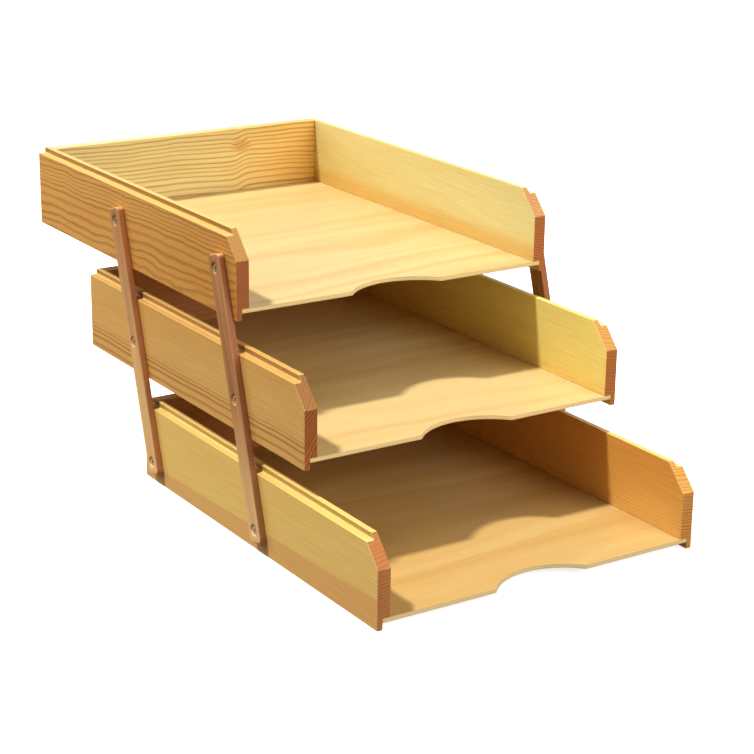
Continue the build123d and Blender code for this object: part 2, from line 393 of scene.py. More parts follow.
waver_gain = 7
uneven_run = 4
uneven_reach = 1.1
late_wood_full = 0.77
late_wood_close = ((0.9, 0.85), (1.0, 0.0))
faintest_year = 0.6
faintest_patch = 0.85
line_left_on_ends = 0.3
line_left_on_top = 0.4
knot_squash = 1.7
knot_core = 0.2
knot_halo = 1.4
knot_swell = 0.6
knot_darkness = 0.45
knot_brown = (206, 120, 62)
heart_share = 0.8
outer_tone_share = 0.75
top_highlight_share = 0.8
band_stray = 0.004
# The arrises are laid paler: partly from rubbing, partly painted highlight.
worn_and_lit_share = (0.05, 0.35)
worn_and_lit_pine = (240, 200, 124)
# How much painted shade the riser takes.
riser_painted_shade_share = 0.8
varnish_coat = 0.12
varnish_coat_roughness = 0.22
varnish_shine = 0.35
pine_roughness = (0.46, 0.36)
end_roughness = 0.14
pore_share = 0.3
fibre_height = 0.5
line_height = 0.12
pine_relief = 0.0003
pine_relief_strength = 0.35


def varnished_pine(name, middle, grain, pith, ring, waver=0.001, ripple=0.0005, lean=(0.0, 0.0), lines=0.5,
                   end_lines=0.5, seed=0.0, pale=(226, 184, 104), late=(160, 96, 38), warm=(222, 158, 84),
                   sawn=(196, 116, 60), band=None, band_colour=(214, 140, 66), band_lines=0.0, knot=None,
                   sawn_from=0.55, late_from=0.44, top_highlight=None, cut_shade=None, outer_own_tone=None, heart=None):
    """Pine cut from a trunk whose pith lies off the board: years, fibres, pores, varnish, and arrises painted
    lighter, partly from rubbing and partly as painted highlight.

    middle is the board's centre and grain the axis its fibres follow. pith is where the trunk's middle lies
    from the board's, up the face and through it. ring is one year's growth, waver and ripple how far it
    wanders in the large and in the small, and lean how far the board was sawn out of line with the trunk.
    lines and end_lines are how dark the late wood is on the faces and on the ends. pale and warm are the
    early wood's two tones, late the late wood's and sawn the ends'. band is a foot of another tone: its
    height up the face, softness, share, and fall to the rear. knot is where the years bend: its place along
    and up the face, its size, and how far the years climb past it. sawn_from is how squarely a cut must cross
    the grain before it looks like an end, and late_from is when in the year the late wood starts.
    top_highlight is a paler tone laid on the tops, a painted highlight where the lamp falls on them, and
    cut_shade how much of each colour a sloping saw cut gives back. outside is the wood's own tone on a
    right-hand board's outer face; the paler tones given for such a board are painted light, standing in for
    light thrown up onto its inner face. heart is the redder wood at one end: its tone, where it starts and
    where it is full."""
    material, tree, surface = new_finish(name)
    centred, facing = place_and_facing(tree, middle)
    axes = step(tree, "ShaderNodeSeparateXYZ", {0: centred}).outputs
    along = axes[grain]
    through = axes["X" if grain == "Y" else "Y"]
    board = step(tree, "ShaderNodeCombineXYZ", {0: along, 1: axes["Z"], 2: through}).outputs[0]

    bent = board
    wanderings = ((waver_gain * waver, 17, 20, 1, seed), (ripple, 52, 70, 2, seed + 3))
    for reach, lengthways, crossways, detail, patch_seed in wanderings:
        patches = cloud(tree, board, lengthways, crossways, detail=detail, seed=patch_seed).outputs["Color"]
        push = shift(tree, "SUBTRACT", patches, (0.5, 0.5, 0.5))
        bent = shift(tree, "ADD", bent, shift(tree, "MULTIPLY", push, (0, reach, reach)))
    if knot:
        knot_along, knot_up, knot_size, knot_rise = knot
        climb_end = knot_along + knot_size
        climb = spread(tree, along, knot_along - knot_size, climb_end, 0, -knot_rise, "SMOOTHERSTEP")
        bent = moved_across(tree, bent, climb)
        aside = shift(tree, "SUBTRACT", board, (knot_along, knot_up, 0))
        near = shift(tree, "LENGTH", shift(tree, "MULTIPLY", aside, (1, knot_squash, 0)))
        knotted = spread(tree, near, knot_core * knot_size, knot_halo * knot_size, 1.0, 0.0, "SMOOTHERSTEP")
        bent = moved_across(tree, bent, reckon(tree, "MULTIPLY", knotted, knot_swell * knot_rise))
    tilt = (0, radians(lean[0]), radians(lean[1]))
    from_pith = (0, -pith[0], -pith[1])
    sawn_out = {"Vector": bent, "Rotation": tilt, "Location": from_pith}
    trunk = step(tree, "ShaderNodeMapping", sawn_out).outputs[0]
    depth = shift(tree, "LENGTH", shift(tree, "MULTIPLY", trunk, (0, 1, 1)))
    growing = {"W": reckon(tree, "DIVIDE", depth, ring * uneven_run), "Scale": 1.0, "Detail": 0.0}
    unevenness = step(tree, "ShaderNodeTexNoise", growing, noise_dimensions="1D").outputs[0]
    early_or_late = reckon(tree, "MULTIPLY", unevenness, uneven_reach)
    years = reckon(tree, "ADD", reckon(tree, "DIVIDE", depth, ring), early_or_late)
    season = reckon(tree, "FRACT", years)
    year = reckon(tree, "FLOOR", years)
    growth = step(tree, "ShaderNodeValToRGB", {"Fac": season})
    shades = growth.color_ramp.elements
    shades[0].position = late_from
    shades[0].color = (0, 0, 0, 1)
    shades[1].position = late_wood_full
    shades[1].color = (1, 1, 1, 1)
    for place, value in late_wood_close:
        shades.new(place).color = (value, value, value, 1)
    growth.color_ramp.interpolation = "EASE"
    vigour = step(tree, "ShaderNodeTexWhiteNoise", {"W": year}, noise_dimensions="1D").outputs["Value"]
    patch = cloud(tree, board, 7, 34, seed=seed + 7).outputs["Fac"]
    patch = spread(tree, patch, 0.35, 0.65, faintest_patch, 1.0)
    line = reckon(tree, "MULTIPLY", growth.outputs["Color"], spread(tree, vigour, 0, 1, faintest_year, 1.0))
    crossing = reckon(tree, "ABSOLUTE", facing[grain])
    on_face = spread(tree, crossing, 0.4, 0.65, lines, line_left_on_ends * lines)
    face_line = reckon(tree, "MULTIPLY", reckon(tree, "MULTIPLY", line, patch), on_face)
    off_top = spread(tree, facing["Z"], 0.4, 0.8, 1.0, line_left_on_top)
    face_line = reckon(tree, "MULTIPLY", face_line, off_top)

    drift = cloud(tree, board, 3, 17, detail=3, seed=seed + 11).outputs["Fac"]
    drift = spread(tree, drift, 0.36, 0.66)
    colour = tint(tree, drift, linear(*pale), linear(*warm))
    if heart:
        heart_tone, heart_start, heart_full = heart
        in_heart = spread(tree, along, heart_start, heart_full, 0.0, heart_share, "SMOOTHSTEP")
        colour = tint(tree, in_heart, colour, linear(*heart_tone))
    # A right-hand board's given tones are painted paler, painted light on its inner face; its outer face
    # keeps the wood's own tone.
    if outer_own_tone:
        outer_face = spread(tree, facing["X"], 0.5, 0.8, 0.0, outer_tone_share)
        outer_tone = tint(tree, drift, linear(*outer_own_tone), share_of(outer_own_tone, 0.93))
        colour = tint(tree, outer_face, colour, outer_tone)
    if band:
        band_height, band_softness, band_share, band_fall = band
        stray = cloud(tree, board, 4, 8, seed=seed + 5).outputs["Fac"]
        stray = reckon(tree, "MULTIPLY", reckon(tree, "SUBTRACT", stray, 0.5), band_stray)
        height = reckon(tree, "ADD", axes["Z"], stray)
        height = reckon(tree, "ADD", height, reckon(tree, "MULTIPLY", along, band_fall))
        band_top = band_height + band_softness
        foot = spread(tree, height, band_top, band_height - band_softness, kind="SMOOTHSTEP")
        colour = tint(tree, reckon(tree, "MULTIPLY", foot, band_share), colour, linear(*band_colour))
        foot_line = reckon(tree, "MULTIPLY", reckon(tree, "MULTIPLY", line, foot), band_lines)
        face_line = reckon(tree, "MAXIMUM", face_line, foot_line)
    colour = tint(tree, face_line, colour, linear(*late))
    # Painted highlight: the tops are laid paler where the lamp falls on them.
    if top_highlight:
        lit_top = spread(tree, facing["Z"], 0.5, 0.9, 0.0, top_highlight_share)
        colour = tint(tree, lit_top, colour, linear(*top_highlight))
    if knot:
        colour = tint(tree, reckon(tree, "MULTIPLY", knotted, knot_darkness), colour, linear(*knot_brown))

    fibres = cloud(tree, board, 22, 950, detail=3, roughness=0.65, seed=seed + 2).outputs["Fac"]
    pores = cloud(tree, board, 60, 1900, detail=1, seed=seed + 9).outputs["Fac"]
    shade = fibre_shade(tree, fibres, 0.9, 1.07)
    colour = tint(tree, 1.0, colour, shade, blend="MULTIPLY")
    colour = tint(tree, spread(tree, pores, 0.64, 0.78, 0.0, pore_share), colour, linear(*late))

    end_tone = tint(tree, drift, linear(*sawn), share_of(sawn, 0.92))
    end_tone = tint(tree, reckon(tree, "MULTIPLY", line, end_lines), end_tone, share_of(sawn, 0.6))
    end_tone = tint(tree, 1.0, end_tone, shade, blend="MULTIPLY")
    across_grain = spread(tree, crossing, sawn_from, sawn_from + 0.25)
    colour = tint(tree, across_grain, colour, end_tone)
    if cut_shade:
        facing_up = spread(tree, facing["Z"], 0.5, 0.6)
        on_cut = reckon(tree, "MULTIPLY", spread(tree, crossing, 0.5, 0.65), facing_up)
        colour = tint(tree, on_cut, colour, (*cut_shade, 1), blend="MULTIPLY")

    # Arrises painted lighter: partly from rubbing, partly painted highlight where they catch the light.
    wear_and_highlight = cloud(tree, board, 60, 220, seed=seed + 4).outputs["Fac"]
    wear_and_highlight = reckon(tree, "MULTIPLY", noted(tree, "rubbed_and_lit"), spread(tree, wear_and_highlight, 0.4, 0.6, *worn_and_lit_share))
    colour = tint(tree, wear_and_highlight, colour, linear(*worn_and_lit_pine))
    # Painted shade: the riser is laid darker, towards a deeper share of the warm tone.
    riser_painted_shade = reckon(tree, "MULTIPLY", noted(tree, "riser_painted_shade"), riser_painted_shade_share)
    colour = tint(tree, riser_painted_shade, colour, share_of(warm, 0.66))

    on_ends = reckon(tree, "MULTIPLY", across_grain, end_roughness)
    roughness = reckon(tree, "ADD", spread(tree, fibres, *fibre_span, *pine_roughness), on_ends)
    raised_line = reckon(tree, "MULTIPLY", line, line_height)
    raised_grain = reckon(tree, "ADD", reckon(tree, "MULTIPLY", fibres, fibre_height), raised_line)
    lay_on(tree, surface, colour, roughness, raised_grain, pine_relief, pine_relief_strength)
    surface.inputs["Specular IOR Level"].default_value = varnish_shine
    surface.inputs["Coat Weight"].default_value = varnish_coat
    surface.inputs["Coat Roughness"].default_value = varnish_coat_roughness
    return material


# The right boards' tones are partly painted light: paler, standing in for light thrown up onto their inner
# faces from the trays' floors, the bottom right one a little more orange for warm light thrown onto it.
side_figures = {
    "bottom_left": dict(
        pith=(-0.20, 0.03), ring=0.0023, waver=0.0003, ripple=0.0003, lean=(0.0, 0.3),
        lines=0.12, end_lines=0.5, seed=1.0, pale=(238, 206, 120), warm=(234, 196, 110),
        late=(176, 112, 46), sawn=(210, 139, 78), band=(-0.0145, 0.0008, 0.55, 0.035),
        band_colour=(222, 158, 98), band_lines=0.2, cut_shade=(0.78, 0.60, 0.60)),
    "middle_left": dict(
        pith=(-0.08, 0.10), ring=0.0021, waver=0.0003, ripple=0.0003, lean=(0.0, 0.35),
        lines=0.08, end_lines=1.0, seed=12.0, pale=(222, 178, 103), warm=(214, 165, 89),
        late=(146, 84, 30), sawn=(184, 108, 55), band=(-0.010, 0.005, 0.15, 0.0),
        band_colour=(214, 152, 80), band_lines=0.8, cut_shade=(0.80, 0.86, 0.92)),
    "top_left": dict(
        pith=(-0.056, 0.106), ring=0.0022, waver=0.0005, ripple=0.0017, lean=(0.3, 0.8),
        lines=0.7, end_lines=0.35, seed=23.0, pale=(216, 164, 84), warm=(206, 147, 68),
        late=(142, 80, 26), sawn=(193, 116, 66), sawn_from=0.7,
        top_highlight=(232, 200, 116), cut_shade=(0.73, 0.70, 0.69)),
    "bottom_right": dict(
        pith=(-0.19, -0.02), ring=0.0020, waver=0.0004, ripple=0.0004, lean=(0.0, 0.4),
        lines=0.24, end_lines=0.8, seed=34.0, pale=(230, 168, 82), warm=(224, 156, 72),
        late=(168, 98, 38), sawn=(236, 165, 84), band=(-0.004, 0.010, 0.6, 0.0),
        band_colour=(238, 190, 100), band_lines=0.5, top_highlight=(246, 208, 112), outer_own_tone=(222, 166, 92)),
    "middle_right": dict(
        pith=(-0.20, -0.04), ring=0.0021, waver=0.0004, ripple=0.0004, lean=(0.0, 0.3),
        lines=0.18, end_lines=0.6, seed=45.0, pale=(246, 228, 128), warm=(244, 218, 118),
        late=(190, 136, 56), sawn=(210, 130, 69), band=(-0.014, 0.01, 0.4, 0.0),
        band_colour=(234, 184, 94), band_lines=0.3, outer_own_tone=(232, 184, 108)),
    "top_right": dict(
        pith=(-0.17, -0.05), ring=0.0021, waver=0.0005, ripple=0.0004, lean=(0.0, 0.5),
        lines=0.2, end_lines=0.6, seed=56.0, pale=(224, 216, 152), warm=(222, 204, 128),
        late=(186, 140, 66), sawn=(210, 130, 71), band=(-0.010, 0.006, 0.7, 0.0),
        band_colour=(220, 174, 82), band_lines=0.3, outer_own_tone=(234, 190, 116)),
}
for tier in tiers:
    for side in sides:
        low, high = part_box(f"{tier}_{side}_side")
        rise = Vector((0, low.y - side_low.y, low.z - side_low.z))
        board = copy_of(side_board, f"{tier}_{side}_board", rise, mirrored=side == "right")
        figure = side_figures[f"{tier}_{side}"]
        board.data.materials.append(varnished_pine(f"{tier}_{side}_pine", (low + high) / 2, "Y", **figure))
        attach(board, f"{tier}_tray")
        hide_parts(f"{tier}_{side}_side")
bpy.data.objects.remove(side_board)


# Back boards: one pine board across the rear of each tray, between the sides and standing on the base. It is
# glued and dowelled to the sides, its grain runs across the tray, and it is varnished with them.
back_arris = 0.0006
back_arris_steps = 4

# The top back board is painted paler, painted light standing in for light thrown onto its front from its
# tray's floor, and the middle and bottom back boards are given redder tones, painted shade.
back_figures = {
    "bottom": dict(
        pith=(-0.12, 0.05), ring=0.0026, waver=0.0006, lean=(0.0, 0.5), lines=0.25, seed=67.0,
        pale=(226, 170, 104), warm=(214, 146, 84)),
    "middle": dict(
        pith=(-0.08, 0.06), ring=0.0028, waver=0.0007, lean=(0.0, 0.6), lines=0.25, seed=78.0,
        pale=(226, 166, 104), warm=(214, 142, 84)),
    "top": dict(
        pith=(-0.070, 0.040), ring=0.0033, waver=0.0008, ripple=0.0007, lean=(0.3, 0.8), lines=0.8, seed=89.0,
        pale=(234, 222, 160), warm=(228, 198, 124), late=(162, 112, 56), late_from=0.56,
        knot=(0.048, 0.012, 0.010, 0.004), heart=((250, 202, 112), 0.01, 0.11)),
}
back_low, back_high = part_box("bottom_back_board")
back_board = block("back_board", back_low, back_high)
pick_arrises(back_board)
ease(back_board, back_arris, back_arris_steps)
bpy.ops.object.mode_set(mode="OBJECT")
for tier in tiers:
    low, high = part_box(f"{tier}_back_board")
    board = copy_of(back_board, f"{tier}_back_rail", low - back_low)
    figure = back_figures[tier]
    board.data.materials.append(varnished_pine(f"{tier}_back_pine", (low + high) / 2, "X", **figure))
    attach(board, f"{tier}_tray")
    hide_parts(f"{tier}_back_board")
bpy.data.objects.remove(back_board)


# Bases: three-ply birch plywood in the sides' rebates, varnished, with a shallow arc sawn out of the front
# edge for a thumb. Each is pinned from below to the sides and the back, with holes sunk for the pins' heads.
ply_arris = 0.0008
ply_arris_steps = 4
ply_blur = 0.00008
glue_line = (0.0001, 0.00004)
glue_share = 0.3
pin_head_radius = 0.0012
pin_head_thickness = 0.0006
pin_radius = 0.0006
pin_room = 0.00003
pin_inset = 0.012
side_pins = 4
back_pins = 3
pin_hole_facets = 32
scoop_radius = 0.05
scoop_depth = 0.017
scoop_facets = 256
scoop_saw_height = 0.02
birch_fleck = (186, 134, 76)
birch_glue = (170, 112, 66)
face_ply_with_light = (250, 218, 154)
core_ply_with_light = (255, 236, 176)
birch_wander = 0.12
birch_fleck_share = 0.3
birch_roughness = (0.5, 0.4)
birch_coat = 0.15
birch_coat_roughness = 0.3
birch_relief = 0.0002
birch_relief_strength = 0.25
# The bottom tray's birch is given darker tones than the others: painted shade, standing in for the shade of
# the trays above it.
birches = {
    "bottom": ((202, 169, 105), (193, 153, 87)),
    "middle": ((218, 194, 134), (208, 175, 112)),
    "top": ((218, 194, 134), (208, 175, 112)),
}
birch_seed_step = 5.0


def drill(piece, cutter):
    """Takes the cutter's shape out of a piece."""
    bpy.ops.object.select_all(action="DESELECT")
    bpy.context.view_layer.objects.active = piece
    piece.select_set(True)
    bpy.ops.object.modifier_add(type="BOOLEAN")
    cut = piece.modifiers[-1]
    cut.operation = "DIFFERENCE"
    cut.solver = "EXACT"
    cut.object = cutter
    bpy.ops.object.modifier_apply(modifier=cut.name)


def birch_plywood(name, middle, thickness, seed, pale, warm):
    """Rotary-cut birch on both faces, its grain across the tray, and the three plies along the edges, painted
    paler than the wood as painted light on the edges. pale and warm are the faces' two tones."""
    material, tree, surface = new_finish(name)
    sheet, facing = place_and_facing(tree, middle)
    wander = cloud(tree, sheet, 3, 9, detail=2, seed=seed).outputs["Fac"]
    peeled = moved_across(tree, sheet, reckon(tree, "MULTIPLY", wander, birch_wander))
    growth = cloud(tree, peeled, 1.5, 45, detail=3, seed=seed + 2).outputs["Fac"]
    fibres = cloud(tree, sheet, 30, 1100, detail=3, roughness=0.6, seed=seed + 4).outputs["Fac"]
    flecks = cloud(tree, sheet, 90, 900, detail=1, seed=seed + 6).outputs["Fac"]
    shade = fibre_shade(tree, fibres, 0.94, 1.04)
    colour = tint(tree, spread(tree, growth, 0.35, 0.65), linear(*pale), linear(*warm))
    colour = tint(tree, 1.0, colour, shade, blend="MULTIPLY")
    colour = tint(tree, spread(tree, flecks, 0.68, 0.8, 0, birch_fleck_share), colour, linear(*birch_fleck))
    level = reckon(tree, "ABSOLUTE", step(tree, "ShaderNodeSeparateXYZ", {0: sheet}).outputs["Z"])
    core_edge = thickness / 6
    core = spread(tree, level, core_edge + ply_blur, core_edge - ply_blur)
    from_glue = reckon(tree, "ABSOLUTE", reckon(tree, "SUBTRACT", level, core_edge))
    glue = reckon(tree, "MULTIPLY", spread(tree, from_glue, *glue_line), glue_share)
    # The plies' tones are painted paler: painted light on the edges.
    plies = tint(tree, core, linear(*face_ply_with_light), linear(*core_ply_with_light))
    plies = tint(tree, glue, plies, linear(*birch_glue))
    plies = tint(tree, 1.0, plies, shade, blend="MULTIPLY")
    edge = spread(tree, reckon(tree, "ABSOLUTE", facing["Z"]), 0.6, 0.4)
    colour = tint(tree, edge, colour, plies)
    roughness = spread(tree, fibres, *fibre_span, *birch_roughness)
    lay_on(tree, surface, colour, roughness, fibres, birch_relief, birch_relief_strength)
    surface.inputs["Coat Weight"].default_value = birch_coat
    surface.inputs["Coat Roughness"].default_value = birch_coat_roughness
    return material


def evenly(first, last, count):
    """Places from first to last, the same distance apart."""
    return [first + (last - first) * number / (count - 1) for number in range(count)]


base_panel = block("base_panel", base_low, base_high)
bpy.ops.object.mode_set(mode="OBJECT")

pins_low, pins_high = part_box("bottom_base_pins")
side_row = pins_high.x - pin_head_radius
back_row = pins_high.y - pin_head_radius
back_reach = -side_high.x - pin_inset
pin_spots = [(x, y) for x in (-side_row, side_row)
             for y in evenly(pins_low.y + pin_head_radius, back_row - pin_inset, side_pins)]
pin_spots += [(x, back_row) for x in evenly(-back_reach, back_reach, back_pins)]
seat_depth = pin_head_thickness + pin_room
seat_radius = pin_head_radius + pin_room
for x, y in pin_spots:
    bpy.ops.object.select_all(action="DESELECT")
    bpy.ops.mesh.primitive_cylinder_add(vertices=pin_hole_facets, radius=seat_radius, depth=2 * seat_depth,
                                        location=(x, y, base_low.z))
    pin_drill = bpy.context.object
    bpy.ops.object.mode_set(mode="EDIT")
    pick_faces(pin_drill, lambda middle, normal: normal.z > squarely)
    bpy.ops.mesh.inset(thickness=seat_radius - pin_radius - pin_room)
    draw_out((0, 0, base_high.z - base_low.z))
    bpy.ops.object.mode_set(mode="OBJECT")
    drill(base_panel, pin_drill)
    bpy.data.objects.remove(pin_drill)
scoop_middle = Vector((0, base_low.y + scoop_depth - scoop_radius, (base_low.z + base_high.z) / 2))
bpy.ops.object.select_all(action="DESELECT")
bpy.ops.mesh.primitive_cylinder_add(vertices=scoop_facets, radius=scoop_radius, depth=scoop_saw_height,
                                    location=scoop_middle)
scoop = bpy.context.object
drill(base_panel, scoop)
bpy.data.objects.remove(scoop)
bpy.ops.object.mode_set(mode="EDIT")
pick_arrises(base_panel, lambda middle, run: middle.y < base_low.y + scoop_depth + ply_arris)
ease(base_panel, ply_arris, ply_arris_steps)
bpy.ops.object.mode_set(mode="OBJECT")
for number, tier in enumerate(tiers):
    low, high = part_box(f"{tier}_base_panel")
    panel = copy_of(base_panel, f"{tier}_plywood_base", low - base_low)
    birch = birch_plywood(f"{tier}_birch", (low + high) / 2, high.z - low.z, birch_seed_step * number,
                          *birches[tier])
    panel.data.materials.append(birch)
    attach(panel, f"{tier}_tray")
    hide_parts(f"{tier}_base_panel")
bpy.data.objects.remove(base_panel)


# Slats: four planed and oiled beech strips with rounded ends and eased arrises. Each is drilled and
# countersunk in three places and swings on a screw in every tray.
slat_width = 0.015
slat_end = 0.0095
slat_corner = 0.003
slat_corner_steps = 8
slat_arris = 0.0008
slat_arris_steps = 4
bore_radius = 0.00184
sink_radius = 0.00429
sink_overshoot = 0.0005
sink_reach = 1.01 * sink_radius
sink_rim = 0.00015
sink_rim_steps = 2
bore_facets = 64
fine_turn = radians(20)
beech_light = (184, 132, 82)
beech_dark = (160, 105, 60)
beech_pale = (236, 194, 132)
pale_full = 0.012
side_light_and_shade_share = 0.8
beech_end_highlight = (236, 184, 118)
end_highlight_share = 0.8
beech_fleck = (120, 70, 40)
worn_and_lit_beech = (220, 170, 120)
worn_and_lit_beech_share = 0.35
beech_fleck_share = 0.45
beech_roughness = (0.5, 0.4)
beech_coat = 0.1
beech_coat_roughness = 0.3
beech_relief = 0.0002
beech_relief_strength = 0.3
beech_seed_step = 7.0

joints = {joint["name"]: Vector(joint["pos_m"]) for joint in frame["joints"]}
foot_pivot = joints["fold"]
top_pivot = joints["top_tray_level"]
slat_reach = (top_pivot - foot_pivot).length
slat_lean = atan2(top_pivot.y - foot_pivot.y, top_pivot.z - foot_pivot.z)


def oiled_beech(name, pivot, lean, seed, pale_from, side_light_and_shade):
    """Beech: pinkish brown with short dark flecks along the grain, and paler from a height down to the foot.
    The sides take a tone of their own for each slat, painted light and shade standing in for how the lamps
    fall on them, and the cut ends are painted lighter, a painted highlight."""
    material, tree, surface = new_finish(name)
    from_pivot, facing = place_and_facing(tree, pivot)
    upright = step(tree, "ShaderNodeMapping", {"Vector": from_pivot, "Rotation": (lean, 0, 0)}).outputs[0]
    axes = step(tree, "ShaderNodeSeparateXYZ", {0: upright}).outputs
    strip = step(tree, "ShaderNodeCombineXYZ", {0: axes["Z"], 1: axes["Y"], 2: axes["X"]}).outputs[0]
    growth = cloud(tree, strip, 6, 240, detail=3, seed=seed).outputs["Fac"]
    fibres = cloud(tree, strip, 25, 1200, detail=3, roughness=0.6, seed=seed + 1).outputs["Fac"]
    flecks = cloud(tree, strip, 260, 1700, detail=1, seed=seed + 2).outputs["Fac"]
    colour = tint(tree, spread(tree, growth, 0.35, 0.68), linear(*beech_light), linear(*beech_dark))
    colour = tint(tree, spread(tree, axes["Z"], pale_from, pale_full), colour, linear(*beech_pale))
    # Painted light and shade: the sides take the slat's own side tone.
    on_side = spread(tree, reckon(tree, "ABSOLUTE", facing["Y"]), 0.5, 0.8, 0.0, side_light_and_shade_share)
    colour = tint(tree, on_side, colour, linear(*side_light_and_shade))
    # Painted highlight: the ends are laid lighter.
    lit_end = spread(tree, reckon(tree, "ABSOLUTE", facing["Z"]), 0.5, 0.8, 0.0, end_highlight_share)
    colour = tint(tree, lit_end, colour, linear(*beech_end_highlight))
    colour = tint(tree, 1.0, colour, fibre_shade(tree, fibres, 0.92, 1.06), blend="MULTIPLY")
    colour = tint(tree, spread(tree, flecks, 0.62, 0.75, 0, beech_fleck_share), colour, linear(*beech_fleck))
    # Arrises painted lighter: partly from rubbing, partly painted highlight.
    worn_and_lit = reckon(tree, "MULTIPLY", noted(tree, "rubbed_and_lit"), worn_and_lit_beech_share)
    colour = tint(tree, worn_and_lit, colour, linear(*worn_and_lit_beech))
    roughness = spread(tree, fibres, *fibre_span, *beech_roughness)
    lay_on(tree, surface, colour, roughness, fibres, beech_relief, beech_relief_strength)
    surface.inputs["Coat Weight"].default_value = beech_coat
    surface.inputs["Coat Roughness"].default_value = beech_coat_roughness
    return material


slat_box_low, slat_box_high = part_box("front_left_slat")
slat_thickness = slat_box_high.x - slat_box_low.x
slat_low = Vector((slat_box_low.x - foot_pivot.x, -slat_width / 2, -slat_end))
slat_high = Vector((slat_box_high.x - foot_pivot.x, slat_width / 2, slat_reach + slat_end))
slat_strip = block("slat_strip", slat_low, slat_high)
pick_arrises(slat_strip, lambda middle, run: abs(run.x) > squarely)
bpy.ops.mesh.bevel(offset=slat_corner, segments=slat_corner_steps, affect="EDGES")
pick_arrises(slat_strip, lambda middle, run: abs(run.x) < 1 - squarely)
ease(slat_strip, slat_arris, slat_arris_steps)
bpy.ops.object.mode_set(mode="OBJECT")

sink_foot = slat_low.x + sink_radius - bore_radius
bore_end = slat_high.x + sink_overshoot
bpy.ops.object.select_all(action="DESELECT")
bpy.ops.mesh.primitive_cylinder_add(vertices=bore_facets, radius=bore_radius, depth=bore_end - sink_foot,
                                    location=((sink_foot + bore_end) / 2, 0, 0), rotation=(0, radians(90), 0))
countersink_bit = bpy.context.object
bpy.ops.object.transform_apply(location=True, rotation=True, scale=True)
bpy.ops.object.mode_set(mode="EDIT")
pick_faces(countersink_bit, lambda middle, normal: normal.x < -squarely)
flare = sink_radius - bore_radius + sink_overshoot
draw_out((-flare, 0, 0))
widening = (bore_radius + flare) / bore_radius
bpy.ops.transform.resize(value=(1, widening, widening), center_override=(sink_foot - flare, 0, 0))
bpy.ops.object.mode_set(mode="OBJECT")
for hole in range(len(tiers)):
    countersink_bit.location.z = hole * slat_reach / (len(tiers) - 1)
    bpy.context.view_layer.update()
    drill(slat_strip, countersink_bit)
bpy.data.objects.remove(countersink_bit)
bpy.ops.object.mode_set(mode="EDIT")
pick_arrises(slat_strip, lambda middle, run: middle.x < slat_low.x + sink_rim and abs(middle.y) < sink_reach)
ease(slat_strip, sink_rim, sink_rim_steps)
bpy.ops.object.mode_set(mode="OBJECT")
bpy.ops.object.shade_smooth_by_angle(angle=fine_turn)

slat_strip.location = foot_pivot
slat_strip.rotation_euler.x = -slat_lean
bpy.ops.object.transform_apply(location=True, rotation=True, scale=True)
# The third column is each slat's side tone, painted light and shade: darker or lighter from slat to slat.
swings = {
    "front_left": ("fold", 0.09, (163, 97, 62)),
    "front_right": ("front_right_swing", 0.06, (176, 108, 68)),
    "rear_left": ("rear_left_swing", 0.19, (206, 132, 84)),
    "rear_right": ("rear_right_swing", 0.12, (184, 116, 74)),
}
for number, (place, (joint, pale_from, side_light_and_shade)) in enumerate(swings.items()):
    pivot = joints[joint]
    back = Vector((0, pivot.y - foot_pivot.y, 0))
    slat = copy_of(slat_strip, f"{place}_beech_slat", back, mirrored="right" in place)
    seed = beech_seed_step * number
    slat.data.materials.append(oiled_beech(f"{place}_beech", pivot, slat_lean, seed, pale_from, side_light_and_shade))
    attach(slat, f"{place}_slat_arm")
    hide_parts(f"{place}_slat")
bpy.data.objects.remove(slat_strip)


# Screws: twelve countersunk brass wood screws with a cross recess, headed and turned from wire. They hold the
# slats to the trays, their heads lie sunk in the slats' faces, and the brass has dulled and greyed.
head_radius = 0.0032
head_rim = 0.0002
head_sunk = 0.0008
head_arris = 0.00008
head_arris_steps = 2
shank_radius = 0.00175
shank_grip = 0.0078
screw_point = 0.0016
point_taper = 0.08
screw_facets = 48
recess_span = 0.0038
recess_slot = 0.0008
recess_depth = 0.0011
recess_foot = 0.5
recess_reach = 0.55 * recess_span
recess_floor = 1.01 * recess_depth
tarnish_span = (0.38, 0.62)
tarnish_roughness = (0.28, 0.46)
brass_metal = 0.5
recess_grime_and_shade = (44, 34, 22)
recess_darkening_share = 0.8
dirt_roughness = 0.3
scratch_depth = 0.00004
scratch_strength = 0.35
screw_turns = {
    "bottom_front_left": 24,
    "bottom_rear_left": 71,
    "middle_front_left": 38,
    "middle_rear_left": 9,
    "top_front_left": 52,
    "top_rear_left": 83,
    "bottom_front_right": 15,
    "bottom_rear_right": 47,
    "middle_front_right": 66,
    "middle_rear_right": 31,
    "top_front_right": 5,
    "top_rear_right": 58,
}

head_depth = head_rim + head_radius - shank_radius
slat_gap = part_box("bottom_left_side")[0].x - slat_box_high.x
shank_length = slat_thickness - head_sunk + slat_gap + shank_grip - screw_point - head_depth
bpy.ops.object.select_all(action="DESELECT")
bpy.ops.mesh.primitive_cylinder_add(vertices=screw_facets, radius=head_radius, depth=head_rim,
                                    location=(head_rim / 2, 0, 0), rotation=(0, radians(90), 0))
brass_screw = bpy.context.object
bpy.ops.object.transform_apply(location=True, rotation=True, scale=True)
bpy.ops.object.mode_set(mode="EDIT")
pick_faces(brass_screw, lambda middle, normal: normal.x > squarely)
draw_out((head_depth - head_rim, 0, 0))
neck = shank_radius / head_radius
bpy.ops.transform.resize(value=(1, neck, neck), center_override=(head_depth, 0, 0))
draw_out((shank_length, 0, 0))
draw_out((screw_point, 0, 0))
screw_end = head_depth + shank_length + screw_point
bpy.ops.transform.resize(value=(1, point_taper, point_taper), center_override=(screw_end, 0, 0))
pick_arrises(brass_screw, lambda middle, run: middle.x < head_rim / 2)
